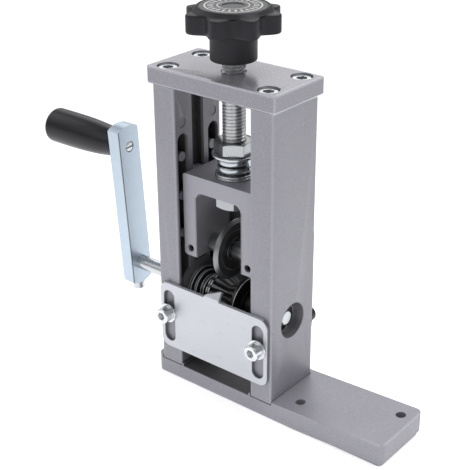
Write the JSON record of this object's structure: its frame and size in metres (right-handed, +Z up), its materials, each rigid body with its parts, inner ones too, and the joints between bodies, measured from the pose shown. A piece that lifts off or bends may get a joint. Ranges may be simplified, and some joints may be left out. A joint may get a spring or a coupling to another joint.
{
  "type": "hand crank wire stripper",
  "caption": "Bench wire stripper: a crank turns a toothed feed roller under a round blade in a screw-adjusted yoke between two cast uprights on a long base.",
  "frame": {"origin": "on the bench plane, straight below the adjusting screw's axis, in the middle of the body's width and depth", "axes": "+X along the base's long foot, +Y away from the operator, +Z up along the adjusting screw"},
  "size_m": [0.2309, 0.0516, 0.2081],
  "materials": {
    "cast_body": "satin grey coated casting, finely speckled",
    "cast_yoke": "satin grey coated casting",
    "plate_steel": "finely brushed bright steel",
    "bright_zinc": "bright zinc plated",
    "zinc_arm": "blue passivated zinc plate, cloudy",
    "ground_steel": "ground bright steel",
    "bearing_steel": "polished bearing steel",
    "black_steel": "blackened tool steel with worn bright edges",
    "blade_steel": "blackened blade with a ground bevel",
    "black_screws": "black oxide",
    "black_plastic": "satin black moulded plastic",
    "cap_plastic": "matte black insert with plain pale ticks"
  },
  "bodies": {
    "frame": {"base_plate": "cast_body", "base_screws": "bright_zinc", "left_upright": "cast_body", "right_upright": "cast_body", "top_plate": "cast_body", "top_plate_screws": "bright_zinc", "rear_inlet_plate": "plate_steel", "rear_plate_washers": "black_screws", "rear_plate_screws": "black_screws", "front_plate_washers": "bright_zinc", "front_plate_screws": "bright_zinc", "bearing_outer_rings": "bearing_steel", "bearing_balls": "bearing_steel"},
    "guide_plate": {"front_guide_plate": "plate_steel"},
    "slider": {"yoke": "cast_yoke", "axle_set_screws": "black_screws", "blade_axle": "ground_steel", "axle_spacers": "ground_steel", "thrust_rings": "bright_zinc"},
    "blade": {"cutting_blade": "blade_steel"},
    "adjuster": {"adjusting_screw": "bright_zinc", "upper_nut": "bright_zinc", "lower_nut": "bright_zinc", "flat_washer": "bright_zinc", "spring_washers": "bright_zinc", "star_knob": "black_plastic", "knob_cap": "cap_plastic"},
    "drive": {"drive_shaft": "ground_steel", "bearing_inner_rings": "bearing_steel", "retaining_rings": "black_screws", "left_collar": "black_steel", "left_guide_disc": "black_steel", "feed_roller": "black_steel", "roller_spacer": "black_steel", "right_guide_disc": "black_steel", "right_collar": "black_steel", "crank_arm": "zinc_arm", "crank_clamp_washer": "bright_zinc", "crank_clamp_screw": "bright_zinc", "handle_bolt": "bright_zinc"},
    "handle": {"crank_handle": "black_plastic"}
  },
  "joints": [
    {"name": "crank_turn", "type": "hinge", "parent": "frame", "child": "drive", "pos_m": [0, 0, 0.0513], "axis": [1, 0, 0], "continuous": true},
    {"name": "handle_spin", "type": "hinge", "parent": "drive", "child": "handle", "pos_m": [-0.1025, -0.0047, 0.12214], "axis": [1, 0, 0], "continuous": true},
    {"name": "slider_lift", "type": "slide", "parent": "frame", "child": "slider", "axis": [0, 0, 1], "range_m": [-0.00029, 0.02449]},
    {"name": "knob_turn", "type": "hinge", "parent": "slider", "child": "adjuster", "pos_m": [0, 0, 0.15], "axis": [0, 0, 1], "range_deg": [-60, 5040]},
    {"name": "blade_spin", "type": "hinge", "parent": "slider", "child": "blade", "pos_m": [-0.0009, 0, 0.0803], "axis": [1, 0, 0], "continuous": true},
    {"name": "guide_plate_slide", "type": "slide", "parent": "frame", "child": "guide_plate", "axis": [0, 0, 1], "range_m": [-0.009, 0.005]}
  ],
  "couplings": [
    {"joint": "knob_turn", "follows": "slider_lift", "rad_per_m": 3590.4}
  ]
}
